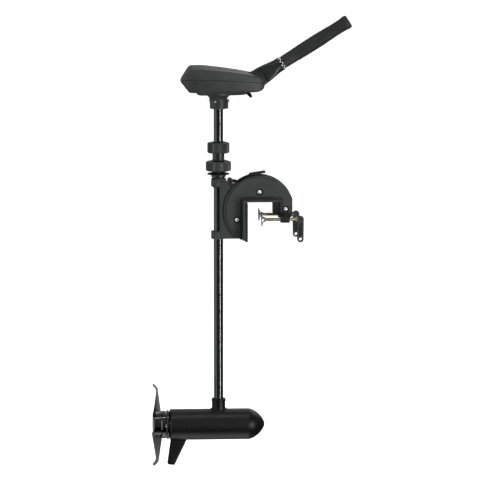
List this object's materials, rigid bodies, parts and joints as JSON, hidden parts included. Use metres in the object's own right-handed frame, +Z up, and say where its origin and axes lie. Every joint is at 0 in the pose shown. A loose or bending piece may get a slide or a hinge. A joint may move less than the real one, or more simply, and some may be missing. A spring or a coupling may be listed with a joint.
{
  "type": "trolling motor",
  "caption": "Transom-clamp electric trolling motor with a tilting shaft bracket, tiller head, depth collar and two-blade propeller.",
  "frame": {"origin": "middle of the saddle's underside, the face that rests on the top of the transom, straight above the tilt axis", "axes": "+X forward into the boat, the way the tiller points; +Y away from the side with the bolt heads; +Z up along the shaft"},
  "size_m": [0.5387, 0.132, 1.2238],
  "materials": {
    "bracket_plastic": "dark grey-green glass-filled nylon, fine grain",
    "head_plastic": "dark grey-green satin plastic, fine grain",
    "black_plastic": "black moulded plastic",
    "grip_rubber": "ribbed black rubber",
    "shaft_composite": "polished black fibre tube",
    "motor_paint": "satin black paint on aluminium",
    "propeller_plastic": "glossy black glass-filled plastic",
    "stainless": "brushed stainless steel",
    "zinc_steel": "yellow zinc plated thread",
    "steel": "machined steel",
    "copper": "enamelled copper wire",
    "magnet": "sintered ferrite",
    "nylon": "natural nylon",
    "carbon": "carbon brush",
    "ring_plastic": "black ring with pale tick marks"
  },
  "bodies": {
    "clamp_bracket": {"near_cheek": "bracket_plastic", "far_cheek": "bracket_plastic", "saddle": "bracket_plastic", "transom_pad": "black_plastic", "tilt_sector": "black_plastic", "clamp_yoke": "bracket_plastic", "cheek_bolt_top": "stainless", "cheek_bolt_front": "stainless", "cheek_bolt_rear": "stainless"},
    "near_pad": {"near_clamp_pad": "stainless"},
    "near_screw": {"near_clamp_screw": "zinc_steel", "near_handle_pin": "stainless"},
    "near_handle": {"near_clamp_handle": "black_plastic"},
    "far_pad": {"far_clamp_pad": "stainless"},
    "far_screw": {"far_clamp_screw": "zinc_steel", "far_handle_pin": "stainless"},
    "far_handle": {"far_clamp_handle": "black_plastic"},
    "carrier": {"swivel_bracket": "bracket_plastic", "upper_bush": "nylon", "lower_bush": "nylon", "lever_pin": "stainless", "thrust_washer": "black_plastic"},
    "lock_lever": {"tilt_lever": "black_plastic"},
    "tension_knob": {"steering_tension_knob": "bracket_plastic"},
    "depth_collar": {"depth_collet": "black_plastic"},
    "depth_knob": {"depth_lock_knob": "bracket_plastic"},
    "motor_column": {"shaft_tube": "shaft_composite", "head_base": "head_plastic", "head_cover": "head_plastic", "rear_panel": "black_plastic", "cable_gland": "grip_rubber", "neck_bolt": "stainless", "speed_switch": "black_plastic", "tiller_pin": "stainless", "centre_housing": "motor_paint", "motor_socket": "motor_paint", "nose_cone": "motor_paint", "brush_end_housing": "motor_paint", "rear_seal_cap": "propeller_plastic", "upper_magnet": "magnet", "lower_magnet": "magnet", "rear_bearing": "steel", "front_bearing": "steel", "shaft_seal": "grip_rubber", "left_brush": "carbon", "right_brush": "carbon", "left_through_bolt": "steel", "right_through_bolt": "steel"},
    "release_trigger": {"tiller_release": "black_plastic"},
    "tiller_arm": {"tiller_base": "black_plastic", "tiller_tube": "shaft_composite"},
    "tiller_slider": {"speed_ring": "ring_plastic"},
    "twist_grip": {"tiller_grip": "grip_rubber"},
    "rotor": {"armature_shaft": "steel", "armature_core": "steel", "armature_windings": "copper", "commutator": "copper", "propeller": "propeller_plastic", "drive_pin": "stainless", "propeller_nut": "stainless"}
  },
  "joints": [
    {"name": "shaft_tilt", "type": "hinge", "parent": "clamp_bracket", "child": "carrier", "pos_m": [0, 0, -0.026], "axis": [0, 1, 0], "range_deg": [0, 80]},
    {"name": "lever_lift", "type": "hinge", "parent": "carrier", "child": "lock_lever", "pos_m": [-0.078, 0, 0.052], "axis": [0, 1, 0], "range_deg": [-18, 0], "stiffness_Nm_per_rad": 0.8},
    {"name": "tension_knob_turn", "type": "hinge", "parent": "carrier", "child": "tension_knob", "pos_m": [-0.11, 0, 0.089], "axis": [0, 0, 1], "range_deg": [-90, 90]},
    {"name": "steering", "type": "hinge", "parent": "carrier", "child": "depth_collar", "pos_m": [-0.11, 0, 0.12], "axis": [0, 0, 1], "continuous": true},
    {"name": "depth_knob_turn", "type": "hinge", "parent": "depth_collar", "child": "depth_knob", "pos_m": [-0.11, 0, 0.14], "axis": [0, 0, 1], "range_deg": [-90, 90]},
    {"name": "depth_slide", "type": "slide", "parent": "depth_collar", "child": "motor_column", "axis": [0, 0, 1], "range_m": [-0.085, 0.36]},
    {"name": "release_pull", "type": "hinge", "parent": "motor_column", "child": "release_trigger", "pos_m": [-0.038, 0, 0.2927], "axis": [0, 1, 0], "range_deg": [-12, 0], "stiffness_Nm_per_rad": 0.3},
    {"name": "tiller_tilt", "type": "hinge", "parent": "motor_column", "child": "tiller_arm", "pos_m": [-0.01, 0, 0.326], "axis": [0, 1, 0], "range_deg": [-14, 38]},
    {"name": "tiller_extend", "type": "slide", "parent": "tiller_arm", "child": "tiller_slider", "axis": [0.8471, 0, 0.5314], "range_m": [0, 0.15]},
    {"name": "grip_twist", "type": "hinge", "parent": "tiller_slider", "child": "twist_grip", "pos_m": [0.075, 0, 0.37932], "axis": [0.8471, 0, 0.5314], "range_deg": [-60, 100]},
    {"name": "propeller_spin", "type": "hinge", "parent": "motor_column", "child": "rotor", "pos_m": [-0.27, 0, -0.615], "axis": [1, 0, 0], "continuous": true},
    {"name": "near_clamp_travel", "type": "slide", "parent": "clamp_bracket", "child": "near_pad", "axis": [1, 0, 0], "range_m": [-0.0075, 0.02]},
    {"name": "near_clamp_turn", "type": "hinge", "parent": "near_pad", "child": "near_screw", "pos_m": [0.05, -0.049, -0.0467], "axis": [1, 0, 0], "range_deg": [-1080, 2880]},
    {"name": "near_handle_fold", "type": "hinge", "parent": "near_screw", "child": "near_handle", "pos_m": [0.109, -0.049, -0.0467], "axis": [0, 1, 0], "range_deg": [-95, 5]},
    {"name": "far_clamp_travel", "type": "slide", "parent": "clamp_bracket", "child": "far_pad", "axis": [1, 0, 0], "range_m": [-0.005, 0.02]},
    {"name": "far_clamp_turn", "type": "hinge", "parent": "far_pad", "child": "far_screw", "pos_m": [0.05, 0.049, -0.0467], "axis": [1, 0, 0], "range_deg": [-720, 2880]},
    {"name": "far_handle_fold", "type": "hinge", "parent": "far_screw", "child": "far_handle", "pos_m": [0.107, 0.049, -0.0467], "axis": [0, 1, 0], "range_deg": [-95, 5]}
  ],
  "couplings": [
    {"joint": "near_clamp_turn", "follows": "near_clamp_travel", "rad_per_m": 2513.3},
    {"joint": "far_clamp_turn", "follows": "far_clamp_travel", "rad_per_m": 2513.3}
  ]
}
